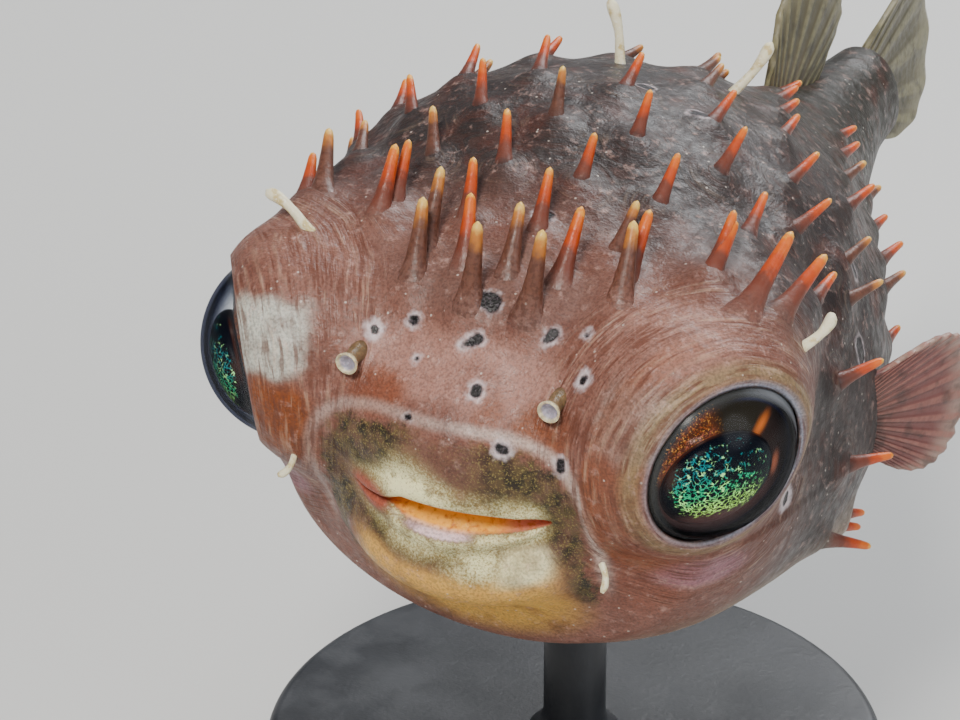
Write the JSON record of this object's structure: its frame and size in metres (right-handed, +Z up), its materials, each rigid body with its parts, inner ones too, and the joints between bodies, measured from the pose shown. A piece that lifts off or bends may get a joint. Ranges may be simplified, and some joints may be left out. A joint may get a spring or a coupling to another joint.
{
  "type": "orbicular burrfish model on a display stand",
  "caption": "Life-size model of a small round burrfish with large eyes and short spines, held above a flat disc by one rod.",
  "frame": {"origin": "middle of the underside of the stand's disc", "axes": "+X towards the fish's left side, +Y towards its tail, so it faces -Y, +Z up"},
  "size_m": [0.0569, 0.0932, 0.064],
  "materials": {
    "skin": "moist satin",
    "mask": "moist satin",
    "fin": "moist satin",
    "feeler": "satin",
    "eye": "wet gloss",
    "stand": "satin"
  },
  "bodies": {
    "root": {"head": "skin", "muzzle_upper": "mask", "muzzle_lower": "mask", "trunk_front": "skin", "trunk_rear": "skin", "tail": "skin", "eye_left": "eye", "eye_right": "eye", "nostril_left": "feeler", "nostril_right": "feeler", "pectoral_fin_left": "fin", "pectoral_fin_right": "fin", "dorsal_fin": "fin", "anal_fin": "fin", "caudal_fin": "fin", "cirrus_brow_left": "feeler", "cirrus_brow_right": "feeler", "cirrus_back_left": "feeler", "cirrus_back_right": "feeler", "cirrus_cheek_left": "feeler", "cirrus_cheek_right": "feeler", "stand_base": "stand", "stand_rod": "stand"}
  },
  "joints": []
}
